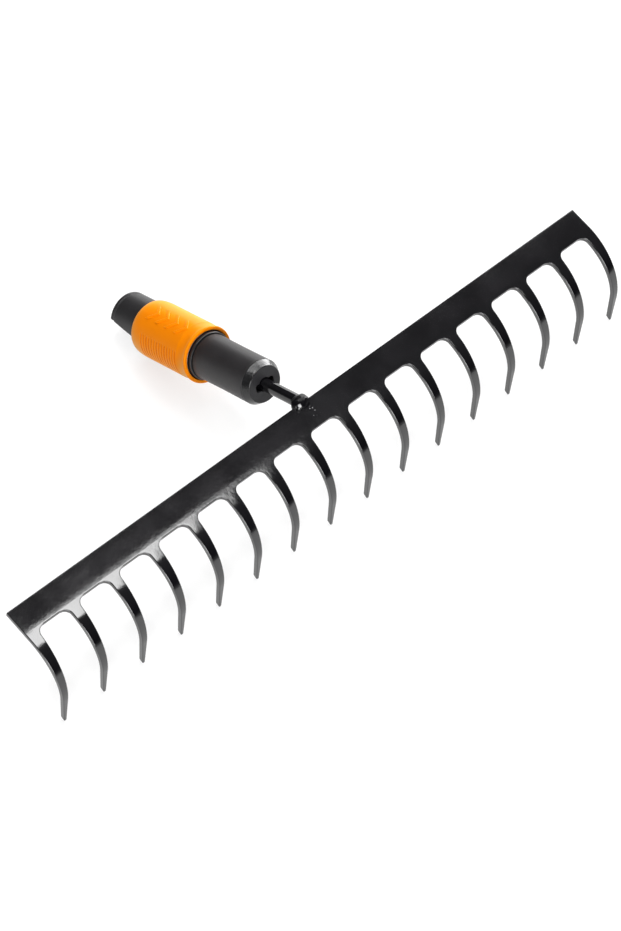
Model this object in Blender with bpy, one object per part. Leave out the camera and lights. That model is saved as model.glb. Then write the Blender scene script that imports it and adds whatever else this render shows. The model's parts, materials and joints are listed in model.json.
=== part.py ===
"""Click-on soil rake head: a pressed blade of curved tines on a quick-release socket.

Lengths are metres and angles are degrees. Every piece is modelled in the socket's own frame:
+X runs along the blade, +Y along the socket away from the blade, and the origin is where the
socket's axis meets the back edge of the blade. The empty head_rest then tips the head on to
its tine points and its collar, as it lies on the ground, with z = 0 as the floor.
"""
import math

import bmesh
import bpy
from mathutils import Matrix, Vector

# Clearances
FIT_GAP = 0.0003
RUN_GAP = 0.0003
RING_CLEARANCE = 0.0006

# Blade, pressed from one plate
TINE_COUNT = 16
TINE_PITCH = 0.027
PLATE_THICKNESS = 0.003
PLATE_DEPTH = 0.0161
PLATE_TILT = 33.3
BEND_START = 0.0159
BEND_RADIUS = 0.0333
BEND_ANGLE = 80.4
TINE_STRAIGHT = 0.0195
TINE_ROOT_WIDTH = 0.0069
TINE_TIP_WIDTH = 0.0018
TIP_BEVEL = 0.0015
GAP_CORNER_RADIUS = 0.0045
GAP_CORNER_STEPS = 5
BEND_STEP = 6.0

# Neck rod and its flattened tang
ROD_RADIUS = 0.0036
TANG_WIDTH = 0.0105
TANG_THICKNESS = 0.004
TANG_SHOULDER = 0.0085
TANG_DEPTH = 0.040
NECK_LENGTH = 0.0307
PIN_RADIUS = 0.002
PIN_SETBACK = 0.020
PIN_RECESS = 0.0004

# Weld bead round the foot of the rod
BEAD_RADIUS = 0.0061
BEAD_BACK = 0.0056
BEAD_FRONT = 0.0042
BEAD_RIPPLE = 0.06
BEAD_LOBES = 7

# End cap, sleeve and stop ring, in their order along the socket
CAP_FACE_RADIUS = 0.0108
CAP_CHAMFER = 0.0044
CAP_RIM_STEP = 0.00005
CAP_PLUG = 0.0081
SLOT_WIDTH = 0.0126
SLOT_HEIGHT = 0.005
SLOT_CORNER = 0.0016
ROD_CLEARANCE = 0.0006
SLEEVE_LENGTH = 0.0417
SLEEVE_WALL = 0.0018
RING_LENGTH = 0.0018
RING_STEP = 0.00095
RING_CHAMFER = 0.0005

# Socket core
SOCKET_RADIUS = 0.0137
BORE_RADIUS = 0.0102
BORE_DEPTH = 0.067
MOUTH_REACH = 0.0212
MOUTH_CHAMFER = 0.0008
EDGE_BREAK = 0.0005
GROOVE_SETBACK = 0.0028
GROOVE_WIDTH = 0.0008
GROOVE_DEPTH = 0.00035
SCARF_LENGTH = 0.023
SCARF_HEIGHT = 0.0056
SCARF_ANGLE = 12.6

# Collar
COLLAR_LENGTH = 0.0489
COLLAR_RADIUS = 0.0165
COLLAR_WALL = 0.00185
COLLAR_LIP = 0.0014
COLLAR_LIP_STEP = 0.0002
COLLAR_BAND = 0.0079
COLLAR_BAND_STEP = 0.0004
COLLAR_SHOULDER = 0.0076
COLLAR_END_WALL = 0.0011
LAND_LENGTH = 0.0055
GRIP_RIBS = 14
GRIP_PITCH = 0.0023
GRIP_DEPTH = 0.00045
GRIP_START = 0.0011
GRIP_HALF_ANGLE = 31.0

# Latch and return spring
COLLAR_TRAVEL = 0.008
PAWL_THROW = 0.0012
PAWL_LENGTH = 0.005
PAWL_MARGIN = 0.0014
PAWL_HEAD_WIDTH = 0.007
PAWL_STEM_WIDTH = 0.005
PAWL_LEDGE = 0.0015
PAWL_NOSE = 0.0014
SPRING_LENGTH = 0.025
SPRING_WIRE = 0.0012
SPRING_TURNS = 6
SPRING_END_GAP = 0.0005
SPRING_POINTS = 10

# Facets round the turned pieces
ROUND_STEPS = 48
SMALL_STEPS = 20
SMOOTH_ANGLE = 32.0

TINY = 1e-7

# Stations along the socket's axis, from the blade to the mouth
CAP_FACE_Y = NECK_LENGTH
CAP_RIM_Y = CAP_FACE_Y + CAP_CHAMFER
SLEEVE_Y = CAP_RIM_Y + FIT_GAP
SLEEVE_END_Y = SLEEVE_Y + SLEEVE_LENGTH
RING_Y = SLEEVE_END_Y + FIT_GAP
RING_END_Y = RING_Y + RING_LENGTH
CAP_END_Y = CAP_RIM_Y + CAP_PLUG
CORE_Y = CAP_END_Y + FIT_GAP
SEAT_Y = RING_END_Y + FIT_GAP
LAND_Y = SEAT_Y + SPRING_LENGTH + FIT_GAP
LAND_END_Y = LAND_Y + LAND_LENGTH
SHOULDER_Y = LAND_END_Y + FIT_GAP
PAWL_Y = SHOULDER_Y + PAWL_MARGIN
PAWL_END_Y = PAWL_Y + PAWL_LENGTH
COLLAR_Y = RING_END_Y + FIT_GAP
COLLAR_END_Y = COLLAR_Y + COLLAR_LENGTH
MOUTH_Y = COLLAR_END_Y + MOUTH_REACH
BORE_Y = MOUTH_Y - BORE_DEPTH
TANG_END_Y = CAP_FACE_Y + TANG_DEPTH
PIN_Y = CAP_FACE_Y + PIN_SETBACK

# Radii that follow from their neighbours, from the collar inwards
COLLAR_LIP_RADIUS = COLLAR_RADIUS + COLLAR_LIP_STEP
COLLAR_BAND_RADIUS = COLLAR_RADIUS - COLLAR_BAND_STEP
CHAMBER_RADIUS = COLLAR_RADIUS - COLLAR_WALL
RING_RADIUS = CHAMBER_RADIUS - RING_CLEARANCE
SLEEVE_RADIUS = RING_RADIUS - RING_STEP
CAP_RIM_RADIUS = SLEEVE_RADIUS + CAP_RIM_STEP
PLUG_RADIUS = SLEEVE_RADIUS - SLEEVE_WALL - FIT_GAP
COLLAR_BORE = SOCKET_RADIUS + RUN_GAP
WIRE_FACET = math.cos(math.pi / SPRING_POINTS)
SPRING_RADIUS = CHAMBER_RADIUS - RUN_GAP - SPRING_WIRE / 2 / WIRE_FACET
SEAT_RADIUS = SPRING_RADIUS * WIRE_FACET - SPRING_WIRE / 2 - RUN_GAP
LAND_BORE = SEAT_RADIUS + RUN_GAP
LEDGE_RADIUS = BORE_RADIUS + PAWL_LEDGE


def clear_scene():
    for item in list(bpy.data.objects):
        bpy.data.objects.remove(item, do_unlink=True)


def paint(name, colour, roughness, metallic):
    material = bpy.data.materials.new(name)
    material.use_nodes = True
    shader = material.node_tree.nodes["Principled BSDF"]
    shader.inputs["Base Color"].default_value = (*colour, 1.0)
    shader.inputs["Roughness"].default_value = roughness
    shader.inputs["Metallic"].default_value = metallic
    material.diffuse_color = (*colour, 1.0)
    return material


def add_object(name, bm, material, parent):
    """Turn a closed bmesh into an object that faces out, with smooth round faces."""
    bmesh.ops.recalc_face_normals(bm, faces=bm.faces[:])
    for face in bm.faces:
        face.smooth = True
    limit = math.radians(SMOOTH_ANGLE)
    for edge in bm.edges:
        edge.smooth = edge.calc_face_angle(0.0) < limit
    mesh = bpy.data.meshes.new(name)
    bm.to_mesh(mesh)
    bm.free()
    item = bpy.data.objects.new(name, mesh)
    bpy.context.scene.collection.objects.link(item)
    item.parent = parent
    if material is not None:
        mesh.materials.append(material)
    return item


def turned(profile, steps=ROUND_STEPS, shape=None):
    """Turn a closed loop of (station, radius) points round the socket's axis.

    A point on the axis becomes one pole. shape may move a point's radius by its angle.
    """
    bm = bmesh.new()
    rings = []
    for station, radius in profile:
        if radius < TINY:
            rings.append([bm.verts.new((0.0, station, 0.0))] * steps)
            continue
        ring = []
        for step in range(steps):
            angle = 2 * math.pi * step / steps
            r = shape(station, radius, angle) if shape else radius
            ring.append(bm.verts.new((r * math.cos(angle), station, r * math.sin(angle))))
        rings.append(ring)
    for near, far in zip(rings, rings[1:] + rings[:1]):
        for step in range(steps):
            after = (step + 1) % steps
            corners = [near[step], near[after], far[after], far[step]]
            unique = list(dict.fromkeys(corners))
            if len(unique) > 2:
                bm.faces.new(unique)
    return bm


def prism(outline, start, end, place):
    """Extrude a flat outline of (u, v) points from w = start to w = end, put by place(u, v, w)."""
    bm = bmesh.new()
    near = [bm.verts.new(place(u, v, start)) for u, v in outline]
    far = [bm.verts.new(place(u, v, end)) for u, v in outline]
    bm.faces.new(near)
    bm.faces.new(far)
    count = len(outline)
    for index in range(count):
        after = (index + 1) % count
        bm.faces.new((near[index], near[after], far[after], far[index]))
    return bm


def along_x(u, v, w):
    return (w, u, v)


def along_y(u, v, w):
    return (u, w, v)


def along_z(u, v, w):
    return (u, v, w)


def along_mitred(u, v, w):
    """Along the socket's axis from the plane of the plate's back face, w behind it."""
    return (u, mitre_station(v, 0.0) + w, v)


def circle(radius, steps, centre=(0.0, 0.0)):
    points = []
    for step in range(steps):
        angle = 2 * math.pi * (step + 0.5) / steps
        points.append((centre[0] + radius * math.cos(angle), centre[1] + radius * math.sin(angle)))
    return points


def rectangle(width, height, centre=(0.0, 0.0)):
    x, y = centre
    return [(x - width / 2, y - height / 2), (x + width / 2, y - height / 2),
            (x + width / 2, y + height / 2), (x - width / 2, y + height / 2)]


def rounded_rectangle(width, height, radius, steps=4):
    points = []
    for quarter, (side, level) in enumerate(((1, 1), (-1, 1), (-1, -1), (1, -1))):
        cx, cy = side * (width / 2 - radius), level * (height / 2 - radius)
        for step in range(steps + 1):
            angle = math.pi / 2 * (quarter + step / steps)
            points.append((cx + radius * math.cos(angle), cy + radius * math.sin(angle)))
    return points


def flipped(outline):
    """The same outline on the underside of the socket."""
    return [(u, -v) for u, v in outline]


def cut(target, name, bm, parent):
    """Take a hidden cutter away from the target."""
    cutter = add_object(name, bm, None, parent)
    cutter.hide_render = True
    cutter.display_type = "WIRE"
    modifier = target.modifiers.new(name, "BOOLEAN")
    modifier.operation = "DIFFERENCE"
    modifier.solver = "EXACT"
    modifier.object = cutter


def blade_angle(reach):
    """Angle of the plate's top below the socket's axis, a reach down from the back edge."""
    turn = math.degrees((reach - BEND_START) / BEND_RADIUS)
    return math.radians(PLATE_TILT + min(max(turn, 0.0), BEND_ANGLE))


def blade_point(reach, depth):
    """(y, z) of a point a reach down the blade and a depth under its top face."""
    tilt = math.radians(PLATE_TILT)
    y = -PLATE_THICKNESS / 2 * math.sin(tilt)
    z = PLATE_THICKNESS / 2 * math.cos(tilt)
    flat = min(reach, BEND_START)
    y -= flat * math.cos(tilt)
    z -= flat * math.sin(tilt)
    angle = blade_angle(reach)
    y -= BEND_RADIUS * (math.sin(angle) - math.sin(tilt))
    z += BEND_RADIUS * (math.cos(angle) - math.cos(tilt))
    straight = max(reach - BEND_START - BEND_RADIUS * math.radians(BEND_ANGLE), 0.0)
    y -= straight * math.cos(angle)
    z -= straight * math.sin(angle)
    return y + depth * math.sin(angle), z - depth * math.cos(angle)


def blade_reach():
    return BEND_START + BEND_RADIUS * math.radians(BEND_ANGLE) + TINE_STRAIGHT


def tine_half_width(reach):
    share = (reach - PLATE_DEPTH) / (blade_reach() - PLATE_DEPTH)
    return (TINE_ROOT_WIDTH + (TINE_TIP_WIDTH - TINE_ROOT_WIDTH) * max(share, 0.0)) / 2


def corner_width(reach):
    """Extra half width that the rounded gap corner leaves on a tine's side."""
    drop = min(reach - PLATE_DEPTH, GAP_CORNER_RADIUS)
    return GAP_CORNER_RADIUS - math.sqrt(GAP_CORNER_RADIUS ** 2 - (GAP_CORNER_RADIUS - drop) ** 2)


def tine_reaches():
    """Reaches of the crease lines down a tine, from the gap's top to the point."""
    reaches = []
    for step in range(GAP_CORNER_STEPS + 1):
        angle = math.pi / 2 * step / GAP_CORNER_STEPS
        reaches.append(PLATE_DEPTH + GAP_CORNER_RADIUS * (1 - math.cos(angle)))
    bend_end = BEND_START + BEND_RADIUS * math.radians(BEND_ANGLE)
    start = reaches[-1]
    count = max(2, round(math.degrees((bend_end - start) / BEND_RADIUS) / BEND_STEP))
    reaches += [start + (bend_end - start) * step / count for step in range(1, count + 1)]
    return reaches + [blade_reach()]


def tine_centres():
    return [(index - (TINE_COUNT - 1) / 2) * TINE_PITCH for index in range(TINE_COUNT)]


def blade_pattern():
    """Quads of the flat pattern as (x, reach) corners: the plate's strips, then each tine."""
    quads = []
    reaches = tine_reaches()
    centres = tine_centres()
    columns = []
    for index, centre in enumerate(centres):
        sides = []
        for side in (-1, 1):
            outer = (index == 0 and side < 0) or (index == TINE_COUNT - 1 and side > 0)
            sides.append([(centre + side * (tine_half_width(r) + (0.0 if outer else corner_width(r))), r)
                          for r in reaches])
        columns += [sides[0][0][0], sides[1][0][0]]
        for row in range(len(reaches) - 1):
            quads.append((sides[0][row], sides[1][row], sides[1][row + 1], sides[0][row + 1]))
    rows = [0.0, BEND_START, PLATE_DEPTH]
    for left, right in zip(columns, columns[1:]):
        for top, bottom in zip(rows, rows[1:]):
            quads.append(((left, top), (right, top), (right, bottom), (left, bottom)))
    return quads


def build_blade(parent, material):
    """The plate and its tines: a flat pattern with thickness, bent down and back in one sweep."""
    bm = bmesh.new()
    tip = blade_reach()
    tops, unders = {}, {}

    def corner(point):
        key = (round(point[0], 8), round(point[1], 8))
        if key not in tops:
            x, reach = point
            tops[key] = bm.verts.new((x, *blade_point(reach, 0.0)))
            short = TIP_BEVEL if reach > tip - TINY else 0.0
            unders[key] = bm.verts.new((x, *blade_point(reach - short, PLATE_THICKNESS)))
        return key

    edges = {}
    for quad in blade_pattern():
        keys = [corner(point) for point in quad]
        bm.faces.new([tops[key] for key in keys])
        bm.faces.new([unders[key] for key in reversed(keys)])
        for first, second in zip(keys, keys[1:] + keys[:1]):
            edges.setdefault(frozenset((first, second)), []).append((first, second))
    for uses in edges.values():
        if len(uses) == 1:
            first, second = uses[0]
            bm.faces.new((tops[first], unders[first], unders[second], tops[second]))
    return add_object("rake_blade", bm, material, parent)


def mitre_station(height, gap):
    """Station where a plane parallel to the plate's back face, a gap behind it, has this height."""
    tilt = math.radians(PLATE_TILT)
    return (gap - height * math.sin(tilt)) / math.cos(tilt)


def rod_section(share):
    """Half width, half height and squareness from the round rod (0) to the flat tang (1)."""
    ease = share * share * (3 - 2 * share)
    width = ROD_RADIUS + (TANG_WIDTH / 2 - ROD_RADIUS) * ease
    height = ROD_RADIUS + (TANG_THICKNESS / 2 - ROD_RADIUS) * ease
    return width, height, 2.0 + 2.5 * ease


def section_points(width, height, power, steps=SMALL_STEPS):
    points = []
    for step in range(steps):
        angle = 2 * math.pi * step / steps
        c, s = math.cos(angle), math.sin(angle)
        points.append((width * math.copysign(abs(c) ** (2 / power), c),
                       height * math.copysign(abs(s) ** (2 / power), s)))
    return points


def build_rod(parent, material):
    """Round rod, cut to the plate's back face, forged flat into a tang that the pin crosses."""
    bm = bmesh.new()
    shares = [0.0, 0.25, 0.5, 0.75, 1.0]
    stations = [(CAP_FACE_Y + TANG_SHOULDER * share, share) for share in shares]
    rings = [[bm.verts.new((x, mitre_station(z, FIT_GAP), z)) for x, z in section_points(*rod_section(0.0))]]
    for station, share in stations + [(TANG_END_Y, 1.0)]:
        rings.append([bm.verts.new((x, station, z)) for x, z in section_points(*rod_section(share))])
    bm.faces.new(rings[0])
    bm.faces.new(rings[-1])
    for near, far in zip(rings, rings[1:]):
        for step in range(SMALL_STEPS):
            after = (step + 1) % SMALL_STEPS
            bm.faces.new((near[step], near[after], far[after], far[step]))
    rod = add_object("neck_rod", bm, material, parent)
    hole = circle(PIN_RADIUS + FIT_GAP, SMALL_STEPS, (0.0, PIN_Y))
    cut(rod, "cut_rod_pin_hole", prism(hole, -TANG_THICKNESS, TANG_THICKNESS, along_z), parent)
    return rod


def build_pin(parent, material):
    reach = PLUG_RADIUS - PIN_RECESS
    half = math.sqrt(reach ** 2 - PIN_RADIUS ** 2)
    outline = circle(PIN_RADIUS, SMALL_STEPS, (0.0, PIN_Y))
    return add_object("tang_pin", prism(outline, -half, half, along_z), material, parent)


def build_bead(parent, material):
    """Rippled fillet of weld round the rod's foot, cut clear of the rod and the plate."""
    stations = [1.0, 0.86, 0.66, 0.42, 0.16, -0.14, -0.44, -0.72, -0.92, -1.0]
    profile = []
    for share in stations:
        y = share * (BEAD_BACK if share > 0 else BEAD_FRONT)
        profile.append((y, BEAD_RADIUS * math.sqrt(max(1 - share * share, 0.0)) ** 0.9))

    def ripple(station, radius, angle):
        return radius * (1 + BEAD_RIPPLE * math.cos(BEAD_LOBES * angle + 160 * station))

    bead = add_object("weld_bead", turned(profile, 28, ripple), material, parent)
    rod = circle(ROD_RADIUS + FIT_GAP, SMALL_STEPS)
    cut(bead, "cut_bead_rod", prism(rod, 0.0, 2 * BEAD_BACK, along_mitred), parent)
    half = PLATE_THICKNESS / 2 + FIT_GAP
    tilt = math.radians(PLATE_TILT)
    down = Vector((-math.cos(tilt), -math.sin(tilt)))
    up = Vector((-math.sin(tilt), math.cos(tilt)))
    start, end = -FIT_GAP * down, 3 * BEAD_RADIUS * down
    slab = [start - half * up, end - half * up, end + half * up, start + half * up]
    cut(bead, "cut_bead_plate", prism(slab, -2 * BEAD_RADIUS, 2 * BEAD_RADIUS, along_x), parent)
    return bead


def build_cap(parent, material):
    """Chamfered cap that closes the near end: a round hole for the rod, and slots for the tang."""
    profile = [(CAP_FACE_Y, 0.0), (CAP_FACE_Y, CAP_FACE_RADIUS), (CAP_RIM_Y - EDGE_BREAK, CAP_RIM_RADIUS),
               (CAP_RIM_Y, CAP_RIM_RADIUS), (CAP_RIM_Y, PLUG_RADIUS), (CAP_END_Y, PLUG_RADIUS), (CAP_END_Y, 0.0)]
    cap = add_object("end_cap", turned(profile), material, parent)
    start, end = CAP_FACE_Y - ROD_RADIUS, CAP_END_Y + ROD_RADIUS
    slot = rounded_rectangle(SLOT_WIDTH, SLOT_HEIGHT, SLOT_CORNER)
    cut(cap, "cut_cap_slot", prism(slot, start, end, along_y), parent)
    hole = circle(ROD_RADIUS + ROD_CLEARANCE, ROUND_STEPS // 2)
    cut(cap, "cut_cap_hole", prism(hole, start - FIT_GAP, end + FIT_GAP, along_y), parent)
    return cap


def build_sleeve(parent, material):
    inner = SLEEVE_RADIUS - SLEEVE_WALL
    waist = SLEEVE_RADIUS - SLEEVE_WALL / 12
    profile = [(SLEEVE_Y, inner), (SLEEVE_Y, SLEEVE_RADIUS - EDGE_BREAK / 2), (SLEEVE_Y + EDGE_BREAK, SLEEVE_RADIUS),
               ((SLEEVE_Y + SLEEVE_END_Y) / 2, waist), (SLEEVE_END_Y, SLEEVE_RADIUS), (SLEEVE_END_Y, inner)]
    return add_object("outer_sleeve", turned(profile), material, parent)


def build_ring(parent, material):
    inner = PLUG_RADIUS + FIT_GAP
    profile = [(RING_Y, inner), (RING_Y, RING_RADIUS - RING_CHAMFER / 2), (RING_Y + RING_CHAMFER, RING_RADIUS),
               (RING_END_Y - EDGE_BREAK, RING_RADIUS), (RING_END_Y, RING_RADIUS - EDGE_BREAK), (RING_END_Y, inner)]
    return add_object("stop_ring", turned(profile), material, parent)


def window_outlines():
    """(y, z) outlines of the stepped window that holds a pawl: stem, then head."""
    centre = (PAWL_Y + PAWL_END_Y) / 2
    length = PAWL_LENGTH + 2 * FIT_GAP
    through = SOCKET_RADIUS * 1.5
    stem = rectangle(length, through, (centre, through / 2))
    head = rectangle(length, through, (centre, LEDGE_RADIUS + through / 2))
    return stem, head


def scarf_outline():
    """(y, z) outline that takes away the underside of the mouth along a sloping line."""
    start = MOUTH_Y - SCARF_LENGTH
    end = MOUTH_Y + SCARF_LENGTH / 2
    slope = math.tan(math.radians(SCARF_ANGLE))
    low = -2 * SOCKET_RADIUS
    return [(start, low), (end, low), (end, SCARF_HEIGHT + slope * (end - MOUTH_Y)),
            (start, SCARF_HEIGHT + slope * (start - MOUTH_Y))]


def build_core(parent, material):
    """The moulded socket: solid round the tang, bored for the handle, scarfed at the mouth."""
    groove = MOUTH_Y - GROOVE_SETBACK
    floor = SOCKET_RADIUS - GROOVE_DEPTH
    profile = [(CORE_Y, 0.0), (CORE_Y, PLUG_RADIUS - EDGE_BREAK), (CORE_Y + EDGE_BREAK, PLUG_RADIUS),
               (SEAT_Y, PLUG_RADIUS), (SEAT_Y, SEAT_RADIUS), (SHOULDER_Y, SEAT_RADIUS),
               (SHOULDER_Y, SOCKET_RADIUS), (groove - GROOVE_WIDTH / 2, SOCKET_RADIUS),
               (groove - GROOVE_WIDTH / 4, floor), (groove + GROOVE_WIDTH / 4, floor),
               (groove + GROOVE_WIDTH / 2, SOCKET_RADIUS), (MOUTH_Y - EDGE_BREAK, SOCKET_RADIUS),
               (MOUTH_Y, SOCKET_RADIUS - EDGE_BREAK), (MOUTH_Y, BORE_RADIUS + MOUTH_CHAMFER),
               (MOUTH_Y - MOUTH_CHAMFER, BORE_RADIUS), (BORE_Y, BORE_RADIUS), (BORE_Y, 0.0)]
    core = add_object("socket_core", turned(profile), material, parent)
    slot = rounded_rectangle(TANG_WIDTH + 2 * FIT_GAP, TANG_THICKNESS + 2 * FIT_GAP, TANG_THICKNESS / 6, 2)
    cut(core, "cut_core_tang", prism(slot, CORE_Y - FIT_GAP, TANG_END_Y + FIT_GAP, along_y), parent)
    hole = circle(PIN_RADIUS + FIT_GAP, SMALL_STEPS, (0.0, PIN_Y))
    cut(core, "cut_core_pin_hole", prism(hole, -SEAT_RADIUS, SEAT_RADIUS, along_z), parent)
    stem, head = window_outlines()
    stem_half = PAWL_STEM_WIDTH / 2 + FIT_GAP
    head_half = PAWL_HEAD_WIDTH / 2 + FIT_GAP
    cut(core, "cut_core_stem_top", prism(stem, -stem_half, stem_half, along_x), parent)
    cut(core, "cut_core_head_top", prism(head, -head_half, head_half, along_x), parent)
    cut(core, "cut_core_stem_bottom", prism(flipped(stem), -stem_half, stem_half, along_x), parent)
    cut(core, "cut_core_head_bottom", prism(flipped(head), -head_half, head_half, along_x), parent)
    width = 2 * SOCKET_RADIUS
    cut(core, "cut_core_scarf", prism(scarf_outline(), -width, width, along_x), parent)
    return core


def collar_outside():
    """Outer (station, radius) points of the collar: lip, thumb band, ribbed body, round end."""
    band_end = COLLAR_Y + COLLAR_BAND
    points = [(COLLAR_Y, COLLAR_LIP_RADIUS - EDGE_BREAK), (COLLAR_Y + EDGE_BREAK, COLLAR_LIP_RADIUS),
              (COLLAR_Y + COLLAR_LIP, COLLAR_LIP_RADIUS), (COLLAR_Y + 2 * COLLAR_LIP, COLLAR_BAND_RADIUS),
              (band_end - COLLAR_LIP, COLLAR_BAND_RADIUS), (band_end, COLLAR_RADIUS)]
    for rib in range(GRIP_RIBS):
        valley = band_end + GRIP_START + rib * GRIP_PITCH
        points += [(valley, COLLAR_RADIUS), (valley + GRIP_PITCH / 2, COLLAR_RADIUS)]
    end_radius = COLLAR_BORE + COLLAR_END_WALL
    shoulder = COLLAR_END_Y - COLLAR_SHOULDER
    for step in range(6):
        angle = math.pi / 2 * step / 5
        points.append((shoulder + COLLAR_SHOULDER * math.sin(angle),
                       end_radius + (COLLAR_RADIUS - end_radius) * math.cos(angle)))
    return points


def grip_shape(station, radius, angle):
    """Sink every rib's valley into the two grip patches at the sides of the collar."""
    first = COLLAR_Y + COLLAR_BAND + GRIP_START
    rib = (station - first) / GRIP_PITCH
    in_rows = -TINY < rib < GRIP_RIBS - 0.25 and abs(rib - round(rib)) < 0.1
    off_side = abs(math.degrees(math.asin(math.sin(angle))))
    if in_rows and off_side < GRIP_HALF_ANGLE and radius > CHAMBER_RADIUS:
        return radius - GRIP_DEPTH
    return radius


def pocket_outline():
    """(y, z) outline of the ramped pocket over a pawl, which lifts as the collar is pulled."""
    start = PAWL_Y - FIT_GAP
    top = COLLAR_BORE + PAWL_THROW
    ramp_end = PAWL_Y + COLLAR_TRAVEL
    end = PAWL_END_Y + COLLAR_TRAVEL + FIT_GAP
    return [(start, BORE_RADIUS), (end, BORE_RADIUS), (end, top), (ramp_end, top),
            (PAWL_Y, COLLAR_BORE), (start, COLLAR_BORE)]


def build_collar(parent, material):
    """The sliding collar, turned with its spring chamber, land and bore."""
    inside = [(COLLAR_END_Y, COLLAR_BORE), (LAND_END_Y, COLLAR_BORE), (LAND_END_Y, LAND_BORE),
              (LAND_Y, LAND_BORE), (LAND_Y, CHAMBER_RADIUS), (COLLAR_Y, CHAMBER_RADIUS)]
    collar = add_object("lock_collar", turned(collar_outside() + inside, ROUND_STEPS, grip_shape), material, parent)
    half = PAWL_HEAD_WIDTH / 2 + FIT_GAP
    pocket = pocket_outline()
    cut(collar, "cut_pocket_top", prism(pocket, -half, half, along_x), parent)
    cut(collar, "cut_pocket_bottom", prism(flipped(pocket), -half, half, along_x), parent)
    return collar


def build_pawl(name, side, parent, material):
    """Stepped steel pawl: the head rests over the window's ledge, the stem reaches into the bore."""
    nose = BORE_RADIUS - PAWL_THROW
    head = LEDGE_RADIUS + FIT_GAP
    top = SOCKET_RADIUS
    stem, wide = PAWL_STEM_WIDTH / 2, PAWL_HEAD_WIDTH / 2
    outline = [(-stem, nose), (stem, nose), (stem, head), (wide, head), (wide, top), (-wide, top),
               (-wide, head), (-stem, head)]
    bm = prism(outline, PAWL_Y, PAWL_END_Y, along_y)
    for vert in bm.verts:
        if vert.co.z < nose + TINY and vert.co.y > PAWL_END_Y - TINY:
            vert.co.z += PAWL_NOSE
    if side < 0:
        for vert in bm.verts:
            vert.co.z = -vert.co.z
    return add_object(name, bm, material, parent)


def spring_points():
    """Centre line of the wire, wound closer for one turn at each end."""
    end_pitch = SPRING_WIRE + SPRING_END_GAP
    run = SPRING_LENGTH - SPRING_WIRE
    pitch = (run - 2 * end_pitch) / SPRING_TURNS
    total = SPRING_TURNS + 2
    points = []
    for step in range(total * SPRING_POINTS + 1):
        turn = step / SPRING_POINTS
        rise = end_pitch * min(turn, 1.0) + pitch * min(max(turn - 1.0, 0.0), SPRING_TURNS)
        rise += end_pitch * max(turn - 1.0 - SPRING_TURNS, 0.0)
        angle = 2 * math.pi * turn
        y = SEAT_Y + SPRING_WIRE / 2 + rise
        points.append(Vector((SPRING_RADIUS * math.cos(angle), y, SPRING_RADIUS * math.sin(angle))))
    return points


def spring_gap(points):
    """Least clear distance between two turns of the wire."""
    least = SPRING_LENGTH
    for index, point in enumerate(points):
        for other in points[index + SPRING_POINTS // 2:]:
            least = min(least, (point - other).length - SPRING_WIRE)
    return least


def build_spring(parent, material):
    points = spring_points()
    curve = bpy.data.curves.new("return_spring", "CURVE")
    curve.dimensions = "3D"
    curve.bevel_depth = SPRING_WIRE / 2
    curve.bevel_resolution = 1
    curve.use_fill_caps = True
    spline = curve.splines.new("POLY")
    spline.points.add(len(points) - 1)
    for target, point in zip(spline.points, points):
        target.co = (*point, 1.0)
    curve.materials.append(material)
    spring = bpy.data.objects.new("return_spring", curve)
    bpy.context.scene.collection.objects.link(spring)
    spring.parent = parent
    print("least gap between the spring's turns, mm:", round(spring_gap(points) * 1000, 2))
    return spring


def resting_tilt():
    """Angle that lays the line from the tine points to the collar's underside on the floor."""
    tip_y, tip_z = blade_point(blade_reach(), 0.0)
    angles = [math.atan2(-radius - tip_z, station - tip_y) for station, radius in collar_outside()]
    return min(angles)


def rest_head(rest, pieces):
    """Tip the head on to the floor and centre it over the origin."""
    tilt = resting_tilt()
    turn = Matrix.Rotation(-tilt, 3, "X")
    floor = (turn @ Vector((0.0, *blade_point(blade_reach(), 0.0)))).z
    places = [(turn @ vert.co).y for piece in pieces if piece.type == "MESH" for vert in piece.data.vertices]
    rest.rotation_euler = (-tilt, 0.0, 0.0)
    rest.location = (0.0, -(min(places) + max(places)) / 2, -floor)
    print("head tilt, degrees:", round(math.degrees(tilt), 3))


def build():
    clear_scene()
    rest = bpy.data.objects.new("head_rest", None)
    bpy.context.scene.collection.objects.link(rest)
    blade_black = paint("blade_black", (0.016, 0.015, 0.018), 0.22, 0.0)
    rod_black = paint("rod_black", (0.014, 0.013, 0.016), 0.25, 0.0)
    weld_black = paint("weld_black", (0.016, 0.015, 0.018), 0.3, 0.0)
    cap_black = paint("cap_black", (0.03, 0.03, 0.032), 0.28, 0.0)
    sleeve_black = paint("sleeve_black", (0.03, 0.028, 0.03), 0.5, 0.0)
    ring_black = paint("ring_black", (0.022, 0.022, 0.024), 0.35, 0.0)
    core_black = paint("core_black", (0.026, 0.025, 0.027), 0.42, 0.0)
    collar_orange = paint("collar_orange", (0.9, 0.26, 0.008), 0.38, 0.0)
    pin_steel = paint("pin_steel", (0.5, 0.5, 0.5), 0.35, 1.0)
    spring_steel = paint("spring_steel", (0.42, 0.42, 0.43), 0.3, 1.0)
    pawl_steel = paint("pawl_steel", (0.36, 0.36, 0.37), 0.4, 1.0)
    lower_steel = paint("pawl_steel_lower", (0.36, 0.36, 0.37), 0.4, 1.0)
    pieces = [
        build_blade(rest, blade_black),
        build_rod(rest, rod_black),
        build_bead(rest, weld_black),
        build_pin(rest, pin_steel),
        build_cap(rest, cap_black),
        build_sleeve(rest, sleeve_black),
        build_ring(rest, ring_black),
        build_core(rest, core_black),
        build_spring(rest, spring_steel),
        build_collar(rest, collar_orange),
        build_pawl("latch_pawl_top", 1, rest, pawl_steel),
        build_pawl("latch_pawl_bottom", -1, rest, lower_steel),
    ]
    rest_head(rest, pieces)


build()
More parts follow.
